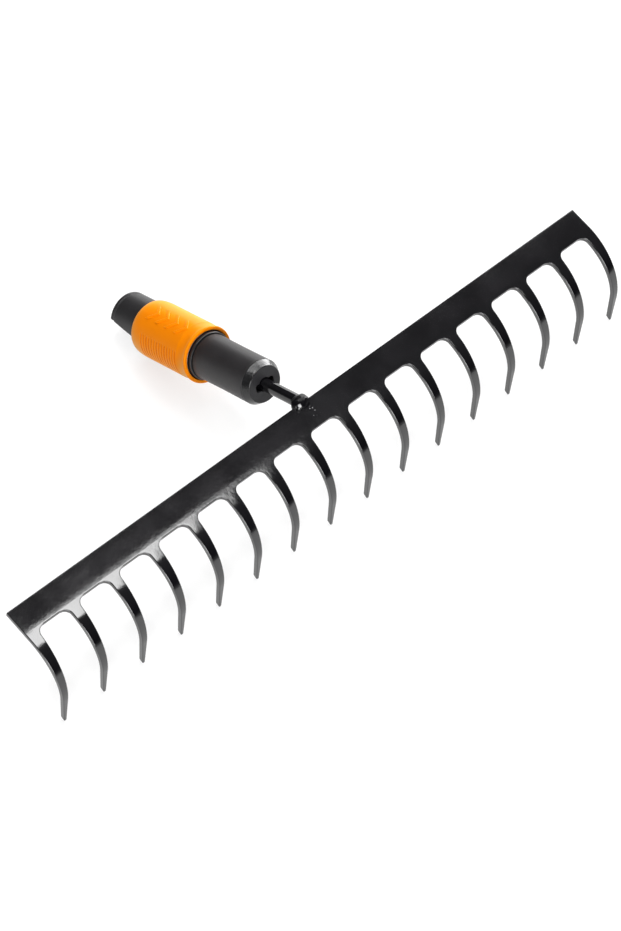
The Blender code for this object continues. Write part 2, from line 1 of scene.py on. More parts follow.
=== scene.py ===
"""Looks for the click-on soil rake head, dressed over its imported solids.

Lengths are metres. Shapes are made in the socket's own frame, as in the solids: +X along the
blade, +Y along the socket away from the blade, the origin where the socket's axis meets the
blade's back edge. head_matrix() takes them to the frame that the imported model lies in.
"""

import json
import math

import bmesh
import bpy
from mathutils import Matrix, Vector, noise


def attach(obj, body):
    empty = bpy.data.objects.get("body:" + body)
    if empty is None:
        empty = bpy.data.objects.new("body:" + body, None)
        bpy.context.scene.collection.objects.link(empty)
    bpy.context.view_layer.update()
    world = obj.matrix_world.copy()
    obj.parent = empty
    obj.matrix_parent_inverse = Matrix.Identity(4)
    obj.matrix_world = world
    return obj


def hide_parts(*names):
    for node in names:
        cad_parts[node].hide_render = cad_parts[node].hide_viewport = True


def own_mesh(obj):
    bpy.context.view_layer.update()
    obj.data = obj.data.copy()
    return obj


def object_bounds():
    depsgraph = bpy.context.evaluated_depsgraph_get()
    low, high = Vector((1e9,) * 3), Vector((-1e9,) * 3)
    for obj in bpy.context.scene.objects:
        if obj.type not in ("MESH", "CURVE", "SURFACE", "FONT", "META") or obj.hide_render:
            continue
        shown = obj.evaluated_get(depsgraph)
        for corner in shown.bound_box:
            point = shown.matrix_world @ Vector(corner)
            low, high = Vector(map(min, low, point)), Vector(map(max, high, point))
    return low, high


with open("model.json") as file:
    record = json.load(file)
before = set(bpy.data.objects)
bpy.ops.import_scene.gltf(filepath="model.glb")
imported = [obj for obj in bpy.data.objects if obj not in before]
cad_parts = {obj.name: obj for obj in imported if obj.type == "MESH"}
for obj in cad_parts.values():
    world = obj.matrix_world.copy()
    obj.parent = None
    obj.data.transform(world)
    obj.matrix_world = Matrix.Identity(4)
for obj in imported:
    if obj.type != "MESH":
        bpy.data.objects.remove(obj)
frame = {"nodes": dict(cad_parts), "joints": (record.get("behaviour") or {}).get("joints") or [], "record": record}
cad_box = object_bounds()

# Clearances
FIT_GAP = 0.0003
RUN_GAP = 0.0003
RING_CLEARANCE = 0.0006

# Blade
TINE_COUNT = 16
TINE_PITCH = 0.027
PLATE_THICKNESS = 0.003
PLATE_DEPTH = 0.0161
PLATE_TILT = 33.3
BEND_START = 0.0159
BEND_EASE = 0.006
BEND_RADIUS = 0.0333
BEND_ANGLE = 80.4
TINE_STRAIGHT = 0.0195
TINE_ROOT_WIDTH = 0.0069
TINE_TIP_WIDTH = 0.0018
TIP_BEVEL = 0.0015
GAP_CORNER_RADIUS = 0.0045
BLADE_EDGE = 0.0005
STRAIGHT_CREASES = (0.3, 0.6, 0.85, 1.0)

# Neck rod, tang and weld
ROD_RADIUS = 0.0036
TANG_WIDTH = 0.0105
TANG_THICKNESS = 0.004
TANG_SHOULDER = 0.0085
TANG_DEPTH = 0.040
ROUND_POWER = 2.0
TANG_POWER = 4.5
NECK_LENGTH = 0.0307
BEAD_CENTRE = (-0.0007, 0.0002, 0.0001)
BEAD_SIZE = (0.0054, 0.0046, 0.0050)
BEAD_LOBES = (((0.8, 0.5, 0.45), 0.16, 0.16), ((-0.75, 0.1, 0.5), 0.08, 0.2),
              ((0.35, -0.7, 0.6), 0.1, 0.1), ((-0.3, 0.8, 0.5), 0.08, 0.12))
RUN_CENTRE = (-0.0038, -0.0025, 0.0009)
RUN_RADIUS = 0.0021
RUN_FACET = (-0.1036, -0.6684, 0.7367)
SPATTER_COUNT = 11
SPATTER_START = (0.0008, 0.0040)
SPATTER_END = (0.0033, 0.0112)
SPATTER_SPREAD = 0.0011
SPATTER_RADIUS = 0.0004
SPATTER_LEAST = 0.45
SPATTER_SIDE_SEED = 7.0
SPATTER_REACH_SEED = 9.0
BEAD_ROUGHNESS = 0.06
BEAD_GRAIN = 2.6
RUN_FLAT = 0.85

# Lengths along the socket
CAP_CHAMFER = 0.0044
CAP_PLUG = 0.0081
SLEEVE_LENGTH = 0.0417
RING_LENGTH = 0.0018
COLLAR_LENGTH = 0.0489
SPRING_LENGTH = 0.025
LAND_LENGTH = 0.0055
PAWL_MARGIN = 0.0014
PAWL_LENGTH = 0.005
MOUTH_REACH = 0.0212
BORE_DEPTH = 0.067

# Radii, and the walls and steps between them
CAP_FACE_RADIUS = 0.0108
CAP_RIM_STEP = 0.00005
SLEEVE_WALL = 0.0018
RING_STEP = 0.00095
SOCKET_RADIUS = 0.0137
BORE_RADIUS = 0.0102
COLLAR_RADIUS = 0.0165
COLLAR_WALL = 0.00185
COLLAR_LIP_STEP = 0.0002
COLLAR_BAND_STEP = 0.0004
COLLAR_END_WALL = 0.0011
SEAT_STEP = 0.0016

# Details of the socket
SLOT_WIDTH = 0.0126
SLOT_HEIGHT = 0.005
SLOT_CORNER = 0.0016
ROD_CLEARANCE = 0.0006
RING_CHAMFER = 0.0005
EDGE_BREAK = 0.0005
MOUTH_CHAMFER = 0.0008
GROOVE_SETBACK = 0.0028
GROOVE_WIDTH = 0.0008
GROOVE_DEPTH = 0.00035
SCARF_LENGTH = 0.023
SCARF_HEIGHT = 0.0056
SCARF_ANGLE = 12.6
SLEEVE_SINK_DIVISOR = 12
COLLAR_BAND = 0.0079
COLLAR_LIP = 0.0014
COLLAR_SHOULDER = 0.0076
GRIP_START = 0.0011
GRIP_RIBS = 14
GRIP_PITCH = 0.0023
GRIP_DEPTH = 0.00045
GRIP_HALF_ANGLE = 31.0
GRIP_FADE_ANGLE = 2.5
GRIP_VALLEY = 0.26
GRIP_SHADE = 0.3
COLLAR_TRAVEL = 0.008
PAWL_THROW = 0.0012
PAWL_HEAD_WIDTH = 0.007
PAWL_STEM_WIDTH = 0.005
PAWL_LEDGE = 0.0015
SPRING_WIRE = 0.0012
SPRING_TURNS = 6
SPRING_END_GAP = 0.0005

# Raised arrows on top of the collar, in place of the photograph's lettering
ARROW_COUNT = 4
ARROW_START = 0.0095
ARROW_PITCH = 0.0082
ARROW_REACH = 0.0052
ARROW_STROKE = 0.0017
ARROW_HEIGHT = 0.0005
ARROW_ANGLE = 100.0
ARROW_CROWN = 0.7

# Camera, fitted to the photograph
CAMERA_TARGET = (-0.0154, -0.07608, 0.03846)
CAMERA_DISTANCE = 1.96
CAMERA_AZIMUTH = -43.993
CAMERA_ELEVATION = 51.729
CAMERA_ROLL = 1.26
CAMERA_LENS = 142.14
CAMERA_SENSOR = 36.0
CAMERA_REACH = 100.0

# Stations along the socket's axis, from the blade's back edge
CAP_FACE_Y = NECK_LENGTH
CAP_RIM_Y = CAP_FACE_Y + CAP_CHAMFER
CAP_END_Y = CAP_RIM_Y + CAP_PLUG
SLEEVE_Y = CAP_RIM_Y + FIT_GAP
SLEEVE_END_Y = SLEEVE_Y + SLEEVE_LENGTH
RING_Y = SLEEVE_END_Y + FIT_GAP
RING_END_Y = RING_Y + RING_LENGTH
CORE_Y = CAP_END_Y + FIT_GAP
SEAT_Y = RING_END_Y + FIT_GAP
LAND_Y = SEAT_Y + SPRING_LENGTH + FIT_GAP
LAND_END_Y = LAND_Y + LAND_LENGTH
SHOULDER_Y = LAND_END_Y + FIT_GAP
PAWL_Y = SHOULDER_Y + PAWL_MARGIN
PAWL_END_Y = PAWL_Y + PAWL_LENGTH
COLLAR_Y = RING_END_Y + FIT_GAP
COLLAR_END_Y = COLLAR_Y + COLLAR_LENGTH
MOUTH_Y = COLLAR_END_Y + MOUTH_REACH
BORE_Y = MOUTH_Y - BORE_DEPTH
TANG_END_Y = CAP_FACE_Y + TANG_DEPTH

# Radii that follow, from the collar inwards
COLLAR_LIP_RADIUS = COLLAR_RADIUS + COLLAR_LIP_STEP
COLLAR_BAND_RADIUS = COLLAR_RADIUS - COLLAR_BAND_STEP
CHAMBER_RADIUS = COLLAR_RADIUS - COLLAR_WALL
RING_RADIUS = CHAMBER_RADIUS - RING_CLEARANCE
SLEEVE_RADIUS = RING_RADIUS - RING_STEP
CAP_RIM_RADIUS = SLEEVE_RADIUS + CAP_RIM_STEP
SLEEVE_BORE = SLEEVE_RADIUS - SLEEVE_WALL
PLUG_RADIUS = SLEEVE_BORE - FIT_GAP
SPRING_RADIUS = CHAMBER_RADIUS - RUN_GAP - SPRING_WIRE / 2
SEAT_RADIUS = SPRING_RADIUS - SEAT_STEP
LAND_BORE = SEAT_RADIUS + RUN_GAP
COLLAR_BORE = SOCKET_RADIUS + RUN_GAP
LEDGE_RADIUS = BORE_RADIUS + PAWL_LEDGE

# Stage: the floor's half length, grey and glow, and the sky's level at each elevation in degrees
FLOOR_SIZE = 40.0
FLOOR_COLOUR = 0.3
FLOOR_GLOW = 0.72
SKY = ((0.0, 0.5), (4.0, 0.08), (9.0, 0.015), (50.0, 0.015), (60.0, 0.09), (80.0, 0.12))

# Lamps: name, place, width, height and radiance; the first group faces straight down
CEILING_LAMPS = (
    ("overhead", (0.5, -0.6, 2.0), 0.5, 0.86, 5.4),
    ("overhead_edge", (0.5, -0.6, 2.01), 0.66, 1.04, 3.3),
    ("top_left", (-0.35, 0.27, 2.0), 0.8, 0.3, 14.0),
    ("top_right", (0.43, 0.44, 2.0), 0.78, 0.3, 14.0),
)
SIDE_LAMPS = (
    ("high_right", (1.37, 0.5, 1.4), 0.5, 0.9, 10.0),
    ("right", (1.6, 0.43, 0.5), 0.48, 0.85, 16.0),
    ("back_right", (1.3, 1.02, 0.5), 0.85, 0.9, 3.5),
    ("fill", (-1.24, -1.48, 0.55), 1.4, 1.0, 10.0),
)
LAMP_TARGET = (0.0, 0.0, 0.03)

# Finishes: noise scales per metre, bump heights, tone shifts, and each gloss as a refractive index
BLOOM_SCALE = 55.0
WAVE_SCALE = 130.0
PEEL_SCALE = 420.0
FINE_PEEL_SCALE = 1400.0
PATCH_SCALE = 90.0
STREAK_SCALE = 1600.0
STREAK_PATCH_SCALE = 500.0
STREAK_STRETCH = (1.0, 0.12, 1.0)
STAIN_SCALE = 160.0
STEEL_GRAIN_SCALE = 2600.0
BUMP_HEIGHT = 0.0002
STEEL_BUMP_HEIGHT = 0.0001
BLOOM_LIFT = 1.7
DUST_LEVEL = 0.0008
DYE_LIFT = 1.04
STREAK_LIFT = 1.8
STAIN_DROP = 0.72
PLASTIC_GLOSS = 1.46
DYED_GLOSS = 1.32
DYED_SHINE = (1.0, 0.75, 0.15, 1.0)

# Lean along the socket of the normals of the faces that count as the cap's chamfer
CHAMFER_SLOPE = (-0.95, -0.12)

# Rounding of the edges, and facets
TURNED_ROUNDING = 0.0003
COLLAR_ROUNDING = 0.0004
CARVED_ROUNDING = 0.0002
ROUNDING_SEGMENTS = 3
ROUNDING_ANGLE = 40.0
CORNER_ANGLE = 25.0
RING_CORNER_ANGLE = 10.0
CORNER_SHARE = 0.4
CORNER_CURVE = (0.0, 0.33, 0.67, 1.0)
SMOOTH_ANGLE = 35.0
ARROW_SMOOTH_ANGLE = 30.0
TURN_STEPS = 144
ARC_STEP = 2.0
LINE_STEP = 0.0002
CORNER_STEPS = 6
SECTION_STEPS = 40
HOLE_STEPS = 48
EASE_ROWS = 6
GAP_CORNER_STEPS = 9
TANG_STEPS = 10
GRIP_ROWS = 13
SHOULDER_STEPS = 12
ARROW_STEPS = 12
SPRING_STEPS = 28
SPRING_SIDES = 10
LUMP_DETAIL = 5
RUN_DETAIL = 4
SPATTER_DETAIL = 2
TINY = 1e-7


def head_matrix():
    """Matrix from the socket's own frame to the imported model's frame."""
    slide = next(joint for joint in frame["joints"] if joint["name"] == "collar_slide")
    mouth = next(mount for mount in frame["record"]["mounts"] if mount["name"] == "handle_socket")
    along = -Vector(slide["axis"]).normalized()
    across = Vector((1.0, 0.0, 0.0))
    up = across.cross(along)
    turn = Matrix((across, along, up)).transposed().to_4x4()
    return Matrix.Translation(Vector(mouth["pos_m"]) - along * MOUTH_Y) @ turn


HEAD = head_matrix()


# Materials

def shader_nodes(name):
    material = bpy.data.materials.new(name)
    material.use_nodes = True
    tree = material.node_tree
    return material, tree, tree.nodes["Principled BSDF"]


def link(tree, source, target):
    tree.links.new(source, target)


def object_coordinates(tree):
    return tree.nodes.new("ShaderNodeTexCoord").outputs["Object"]


def grain(tree, coordinates, scale, detail=3.0, roughness=0.55):
    """A noise value between 0 and 1 over the surface."""
    node = tree.nodes.new("ShaderNodeTexNoise")
    node.inputs["Scale"].default_value = scale
    node.inputs["Detail"].default_value = detail
    node.inputs["Roughness"].default_value = roughness
    link(tree, coordinates, node.inputs["Vector"])
    return node.outputs["Fac"]


def ramp(tree, value, low, high, out_low, out_high):
    """Map a value from low..high to out_low..out_high."""
    node = tree.nodes.new("ShaderNodeMapRange")
    node.inputs["From Min"].default_value = low
    node.inputs["From Max"].default_value = high
    node.inputs["To Min"].default_value = out_low
    node.inputs["To Max"].default_value = out_high
    link(tree, value, node.inputs["Value"])
    return node.outputs["Result"]


def blend_colours(tree, value, first, second):
    node = tree.nodes.new("ShaderNodeMix")
    node.data_type = "RGBA"
    node.inputs["A"].default_value = (*first, 1.0)
    node.inputs["B"].default_value = (*second, 1.0)
    link(tree, value, node.inputs["Factor"])
    return node.outputs["Result"]


def sum_values(tree, first, second, share):
    """first + second * share."""
    node = tree.nodes.new("ShaderNodeMath")
    node.operation = "MULTIPLY_ADD"
    node.inputs[1].default_value = share
    link(tree, second, node.inputs[0])
    link(tree, first, node.inputs[2])
    return node.outputs["Value"]


def bump(tree, height, strength, distance):
    node = tree.nodes.new("ShaderNodeBump")
    node.inputs["Strength"].default_value = strength
    node.inputs["Distance"].default_value = distance
    link(tree, height, node.inputs["Height"])
    return node.outputs["Normal"]


def edge_wear(tree, low, high):
    """0 on flat faces and up to 1 on worn outer edges, from the surface's pointiness."""
    node = tree.nodes.new("ShaderNodeNewGeometry")
    return ramp(tree, node.outputs["Pointiness"], low, high, 0.0, 1.0)


def gloss_paint(name, colour, rough, peel, gloss, wave=0.0):
    """Black stoving paint: deep gloss, orange peel over faint waves, a dusty bloom, thin on the edges."""
    material, tree, shader = shader_nodes(name)
    coordinates = object_coordinates(tree)
    bloom = grain(tree, coordinates, BLOOM_SCALE, 4.0)
    fine = grain(tree, coordinates, FINE_PEEL_SCALE, 2.0)
    broad = grain(tree, coordinates, PEEL_SCALE, 2.0)
    lifted = tuple(channel * BLOOM_LIFT + DUST_LEVEL for channel in colour)
    tone = ramp(tree, bloom, 0.35, 0.75, 0.0, 0.8)
    tone = sum_values(tree, tone, edge_wear(tree, 0.53, 0.62), 1.2)
    link(tree, blend_colours(tree, tone, colour, lifted), shader.inputs["Base Color"])
    link(tree, ramp(tree, bloom, 0.3, 0.7, rough * 0.8, rough * 1.25), shader.inputs["Roughness"])
    height = sum_values(tree, broad, fine, 0.3)
    height = sum_values(tree, height, grain(tree, coordinates, WAVE_SCALE, 1.0), wave)
    link(tree, bump(tree, height, peel, BUMP_HEIGHT), shader.inputs["Normal"])
    shader.inputs["IOR"].default_value = gloss
    return material


def moulded_plastic(name, colour, lifted, rough, texture, depth, gloss=PLASTIC_GLOSS):
    """Moulded plastic with a fine spark-eroded texture and paler patches."""
    material, tree, shader = shader_nodes(name)
    coordinates = object_coordinates(tree)
    patches = grain(tree, coordinates, PATCH_SCALE, 4.0)
    sparks = grain(tree, coordinates, texture, 2.0, 0.7)
    tone = sum_values(tree, ramp(tree, patches, 0.3, 0.7, 0.0, 0.6), sparks, 0.5)
    link(tree, blend_colours(tree, tone, colour, lifted), shader.inputs["Base Color"])
    link(tree, ramp(tree, sparks, 0.3, 0.7, rough * 0.85, rough * 1.15), shader.inputs["Roughness"])
    link(tree, bump(tree, sparks, depth, BUMP_HEIGHT), shader.inputs["Normal"])
    shader.inputs["IOR"].default_value = gloss
    return material


def sheen_painted_plastic(name, colour, glow, rough, texture, depth):
    """Bright moulded plastic with a painted sheen: at a slant to the view its colour turns toward glow, paler and
    yellower.
    """
    lifted = tuple(channel * DYE_LIFT for channel in colour)
    material = moulded_plastic(name, colour, lifted, rough, texture, depth, DYED_GLOSS)
    tree = material.node_tree
    shader = tree.nodes["Principled BSDF"]
    body = shader.inputs["Base Color"].links[0].from_socket
    # Painted sheen: the base colour is mixed toward the glow colour where the surface is seen at a slant.
    slant = tree.nodes.new("ShaderNodeLayerWeight")
    slant.inputs["Blend"].default_value = 0.5
    mix = tree.nodes.new("ShaderNodeMix")
    mix.data_type = "RGBA"
    mix.inputs["B"].default_value = (*glow, 1.0)
    link(tree, ramp(tree, slant.outputs["Facing"], 0.35, 0.85, 0.0, 1.0), mix.inputs["Factor"])
    link(tree, body, mix.inputs["A"])
    link(tree, mix.outputs["Result"], shader.inputs["Base Color"])
    shader.inputs["Specular Tint"].default_value = DYED_SHINE
    return material


def brushed_plastic(name, colour, rough, gloss):
    """Plastic trimmed bright, with fine streaks that run roughly along the socket."""
    material, tree, shader = shader_nodes(name)
    coordinates = object_coordinates(tree)
    place = tree.nodes.new("ShaderNodeMapping")
    place.inputs["Scale"].default_value = STREAK_STRETCH
    link(tree, coordinates, place.inputs["Vector"])
    streaks = grain(tree, place.outputs["Vector"], STREAK_SCALE, 3.0, 0.7)
    patches = grain(tree, place.outputs["Vector"], STREAK_PATCH_SCALE, 2.0)
    lifted = tuple(channel * STREAK_LIFT for channel in colour)
    streaked = blend_colours(tree, ramp(tree, streaks, 0.35, 0.7, 0.0, 1.0), colour, lifted)
    link(tree, streaked, shader.inputs["Base Color"])
    tone = sum_values(tree, streaks, patches, 0.4)
    link(tree, ramp(tree, tone, 0.4, 1.0, rough * 0.8, rough * 1.2), shader.inputs["Roughness"])
    link(tree, bump(tree, streaks, 0.5, BUMP_HEIGHT), shader.inputs["Normal"])
    shader.inputs["IOR"].default_value = gloss
    return material


def bright_steel(name, colour, rough):
    """Bare steel with a fine grain and a little oil stain."""
    material, tree, shader = shader_nodes(name)
    coordinates = object_coordinates(tree)
    stain = grain(tree, coordinates, STAIN_SCALE, 4.0)
    fine = grain(tree, coordinates, STEEL_GRAIN_SCALE, 2.0)
    darker = tuple(channel * STAIN_DROP for channel in colour)
    stained = blend_colours(tree, ramp(tree, stain, 0.35, 0.65, 0.0, 1.0), colour, darker)
    link(tree, stained, shader.inputs["Base Color"])
    link(tree, ramp(tree, fine, 0.3, 0.7, rough * 0.7, rough * 1.4), shader.inputs["Roughness"])
    link(tree, bump(tree, fine, 0.15, STEEL_BUMP_HEIGHT), shader.inputs["Normal"])
    shader.inputs["Metallic"].default_value = 1.0
    return material


# Meshes

def new_piece(name, bm, material, body, node, smooth=SMOOTH_ANGLE):
    """A closed bmesh becomes a piece inside the solids' box, in place of a node if one is named."""
    bmesh.ops.recalc_face_normals(bm, faces=bm.faces[:])
    bmesh.ops.transform(bm, matrix=HEAD, verts=bm.verts[:])
    limit = math.radians(smooth)
    for face in bm.faces:
        face.smooth = True
    for edge in bm.edges:
        edge.smooth = edge.calc_face_angle(0.0) < limit
    mesh = bpy.data.meshes.new(name)
    bm.to_mesh(mesh)
    bm.free()
    for vert in mesh.vertices:
        vert.co = [min(max(value, low), high) for value, low, high in zip(vert.co, *cad_box)]
    piece = bpy.data.objects.new(name, mesh)
    bpy.context.scene.collection.objects.link(piece)
    mesh.materials.append(material)
    even = piece.modifiers.new("even_flats", "WEIGHTED_NORMAL")
    even.keep_sharp = True
    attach(piece, body)
    if node:
        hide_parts(node)
    return piece


def add_to(bm, other):
    """Put a second bmesh's shell beside the first one's."""
    mesh = bpy.data.meshes.new("part")
    other.to_mesh(mesh)
    other.free()
    bm.from_mesh(mesh)
    bpy.data.meshes.remove(mesh)


def helper_object(name, bm):
    """A cutter or a part of a piece, still in the socket's frame."""
    bmesh.ops.recalc_face_normals(bm, faces=bm.faces[:])
    mesh = bpy.data.meshes.new(name)
    bm.to_mesh(mesh)
    bm.free()
    item = bpy.data.objects.new(name, mesh)
    bpy.context.scene.collection.objects.link(item)
    return item


def carved(name, bm, cutters, edge=0.0):
    """Cut shapes out of a bmesh and round the edges; gives back the new bmesh."""
    body = helper_object(name, bm)
    tools = [helper_object(name + "_tool", cutter) for cutter in cutters]
    for tool in tools:
        modifier = body.modifiers.new("cut", "BOOLEAN")
        modifier.operation = "DIFFERENCE"
        modifier.solver = "EXACT"
        modifier.object = tool
    if edge:
        modifier = body.modifiers.new("edge", "BEVEL")
        modifier.width = edge
        modifier.segments = ROUNDING_SEGMENTS
        modifier.limit_method = "ANGLE"
        modifier.angle_limit = math.radians(ROUNDING_ANGLE)
    bpy.context.view_layer.update()
    finished = body.evaluated_get(bpy.context.evaluated_depsgraph_get()).to_mesh()
    result = bmesh.new()
    result.from_mesh(finished)
    body.to_mesh_clear()
    for item in [body] + tools:
        bpy.data.objects.remove(item, do_unlink=True)
    return result


def softened(loop, size, keep=CORNER_ANGLE):
    """Round every corner of a closed (station, radius) loop that turns by more than keep degrees."""
    points = []
    count = len(loop)
    for index, corner in enumerate(loop):
        here = Vector(corner)
        before = Vector(loop[index - 1]) - here
        after = Vector(loop[(index + 1) % count]) - here
        on_axis = corner[1] < TINY
        if on_axis or math.degrees(before.angle(-after)) < keep:
            points.append(corner)
            continue
        start = here + before.normalized() * min(size, before.length * CORNER_SHARE)
        end = here + after.normalized() * min(size, after.length * CORNER_SHARE)
        for share in CORNER_CURVE:
            point = start.lerp(here, share).lerp(here.lerp(end, share), share)
            points.append((point.x, point.y))
    return points


def turned(profile, shape=None):
    """Turn a closed loop of (station, radius) points round the axis; shape() may change a radius."""
    bm = bmesh.new()
    rings = []
    for station, radius in profile:
        if radius < TINY:
            rings.append([bm.verts.new((0.0, station, 0.0))] * TURN_STEPS)
            continue
        ring = []
        for step in range(TURN_STEPS):
            angle = 2 * math.pi * step / TURN_STEPS
            out = shape(station, radius, angle) if shape else radius
            ring.append(bm.verts.new((out * math.cos(angle), station, out * math.sin(angle))))
        rings.append(ring)
    for near, far in zip(rings, rings[1:] + rings[:1]):
        for step in range(TURN_STEPS):
            after = (step + 1) % TURN_STEPS
            unique = list(dict.fromkeys([near[step], near[after], far[after], far[step]]))
            if len(unique) > 2:
                bm.faces.new(unique)
    return bm


def prism(outline, start, end, place):
    """Extrude a flat outline of (u, v) points from w = start to w = end, put by place(u, v, w)."""
    bm = bmesh.new()
    near = [bm.verts.new(place(u, v, start)) for u, v in outline]
    far = [bm.verts.new(place(u, v, end)) for u, v in outline]
    bm.faces.new(near)
    bm.faces.new(far)
    for index in range(len(outline)):
        after = (index + 1) % len(outline)
        bm.faces.new((near[index], near[after], far[after], far[index]))
    return bm


def along_x(u, v, w):
    return (w, u, v)


def along_y(u, v, w):
    return (u, w, v)


def rounded_rectangle(width, height, radius, steps=CORNER_STEPS):
    """(u, v) points of a rectangle with round corners."""
    points = []
    for quarter, (side, level) in enumerate(((1, 1), (-1, 1), (-1, -1), (1, -1))):
        middle_u, middle_v = side * (width / 2 - radius), level * (height / 2 - radius)
        for step in range(steps + 1):
            angle = math.pi / 2 * (quarter + step / steps)
            points.append((middle_u + radius * math.cos(angle), middle_v + radius * math.sin(angle)))
    return points


def lofted(rings):
    """Skin equal rings of points and close both ends."""
    bm = bmesh.new()
    rows = [[bm.verts.new(point) for point in ring] for ring in rings]
    bm.faces.new(rows[0])
    bm.faces.new(rows[-1])
    for near, far in zip(rows, rows[1:]):
        for step in range(len(near)):
            after = (step + 1) % len(near)
            bm.faces.new((near[step], near[after], far[after], far[step]))
    return bm


# Blade

def blade_turn(reach):
    """Angle that the blade has turned by, in radians, eased in on both sides of the bend's start."""
    eased = reach - BEND_START + BEND_EASE
    if eased < 2 * BEND_EASE:
        return max(eased, 0.0) ** 2 / (4 * BEND_EASE * BEND_RADIUS)
    return min((reach - BEND_START) / BEND_RADIUS, math.radians(BEND_ANGLE))


def blade_line():
    """(y, z) points down the blade's top face, a LINE_STEP of reach apart."""
    tilt = math.radians(PLATE_TILT)
    y = -PLATE_THICKNESS / 2 * math.sin(tilt)
    z = PLATE_THICKNESS / 2 * math.cos(tilt)
    points = [(y, z)]
    for step in range(math.ceil(blade_reach() / LINE_STEP) + 1):
        angle = tilt + blade_turn((step + 0.5) * LINE_STEP)
        y -= LINE_STEP * math.cos(angle)
        z -= LINE_STEP * math.sin(angle)
        points.append((y, z))
    return points


def blade_point(reach, depth):
    """(y, z) of a point a reach down the blade and a depth under its top face."""
    place = reach / LINE_STEP
    near, far = BLADE_LINE[int(place)], BLADE_LINE[int(place) + 1]
    share = place - int(place)
    angle = math.radians(PLATE_TILT) + blade_turn(reach)
    y = near[0] + (far[0] - near[0]) * share
    z = near[1] + (far[1] - near[1]) * share
    return y + depth * math.sin(angle), z - depth * math.cos(angle)


def blade_reach():
    """Length of the blade from its back edge to the points, measured along its top face."""
    return BEND_START + BEND_RADIUS * math.radians(BEND_ANGLE) + TINE_STRAIGHT


BLADE_LINE = blade_line()


def tine_half_width(reach):
    """Half of a tine's width, which narrows evenly from the root to the point."""
    share = (reach - PLATE_DEPTH) / (blade_reach() - PLATE_DEPTH)
    return (TINE_ROOT_WIDTH + (TINE_TIP_WIDTH - TINE_ROOT_WIDTH) * max(share, 0.0)) / 2


def corner_width(reach):
    """How much the round corner of a gap widens a tine's side at a reach."""
    drop = min(reach - PLATE_DEPTH, GAP_CORNER_RADIUS)
    return GAP_CORNER_RADIUS - math.sqrt(GAP_CORNER_RADIUS ** 2 - (GAP_CORNER_RADIUS - drop) ** 2)


def tine_reaches():
    """Crease lines down a tine: the gap's round corner, the bend, and the straight end."""
    reaches = [PLATE_DEPTH + GAP_CORNER_RADIUS * (1 - math.cos(math.pi / 2 * step / GAP_CORNER_STEPS))
               for step in range(GAP_CORNER_STEPS + 1)]
    bend_end = BEND_START + BEND_RADIUS * math.radians(BEND_ANGLE)
    start = reaches[-1]
    count = round(math.degrees((bend_end - start) / BEND_RADIUS) / ARC_STEP)
    reaches += [start + (bend_end - start) * step / count for step in range(1, count + 1)]
    return reaches + [bend_end + TINE_STRAIGHT * share for share in STRAIGHT_CREASES]


def blade_pattern():
    """Quads of the flat pattern as (x, reach) corners: the plate's strips, then each tine."""
    quads = []
    reaches = tine_reaches()
    columns = []
    for index in range(TINE_COUNT):
        centre = (index - (TINE_COUNT - 1) / 2) * TINE_PITCH
        sides = []
        for side in (-1, 1):
            outer = (index == 0 and side < 0) or (index == TINE_COUNT - 1 and side > 0)
            corners = [0.0 if outer else corner_width(reach) for reach in reaches]
            sides.append([(centre + side * (tine_half_width(reach) + corner), reach)
                          for reach, corner in zip(reaches, corners)])
        columns += [sides[0][0][0], sides[1][0][0]]
        for row in range(len(reaches) - 1):
            quads.append((sides[0][row], sides[1][row], sides[1][row + 1], sides[0][row + 1]))
    flat = BEND_START - BEND_EASE
    rows = [0.0, flat / 2]
    rows += [flat + (PLATE_DEPTH - flat) * step / EASE_ROWS for step in range(EASE_ROWS + 1)]
    for left, right in zip(columns, columns[1:]):
        for top, bottom in zip(rows, rows[1:]):
            quads.append(((left, top), (right, top), (right, bottom), (left, bottom)))
    return quads


def blade_mesh():
    """The blade's closed shell: the pattern on top and underneath, joined along its free edges."""
    bm = bmesh.new()
    tip = blade_reach()
    tops, unders = {}, {}

    def corner(point):
        key = (round(point[0], 8), round(point[1], 8))
        if key not in tops:
            x, reach = point
            tops[key] = bm.verts.new((x, *blade_point(reach, 0.0)))
            short = TIP_BEVEL if reach > tip - TINY else 0.0
            unders[key] = bm.verts.new((x, *blade_point(reach - short, PLATE_THICKNESS)))
        return key

    edges = {}
    for quad in blade_pattern():
        keys = [corner(point) for point in quad]
        bm.faces.new([tops[key] for key in keys])
        bm.faces.new([unders[key] for key in reversed(keys)])
        for first, second in zip(keys, keys[1:] + keys[:1]):
            edges.setdefault(frozenset((first, second)), []).append((first, second))
    for uses in edges.values():
        if len(uses) == 1:
            first, second = uses[0]
            bm.faces.new((tops[first], unders[first], unders[second], tops[second]))
    return bm


def build_blade(paint):
    """The pressed plate, its sheared edges rolled over by the press and the paint."""
    bm = carved("blade_work", blade_mesh(), [], BLADE_EDGE)
    return new_piece("blade_finish", bm, paint, "head", "rake_blade")


# Neck and weld

def section(width, height, power, steps=SECTION_STEPS):
    """(x, z) points of a rounded section, from an ellipse at power 2 to nearly a rectangle."""
    points = []
    for step in range(steps):
        angle = 2 * math.pi * step / steps
        across, up = math.cos(angle), math.sin(angle)
        points.append((width * math.copysign(abs(across) ** (2 / power), across),
                       height * math.copysign(abs(up) ** (2 / power), up)))
    return points


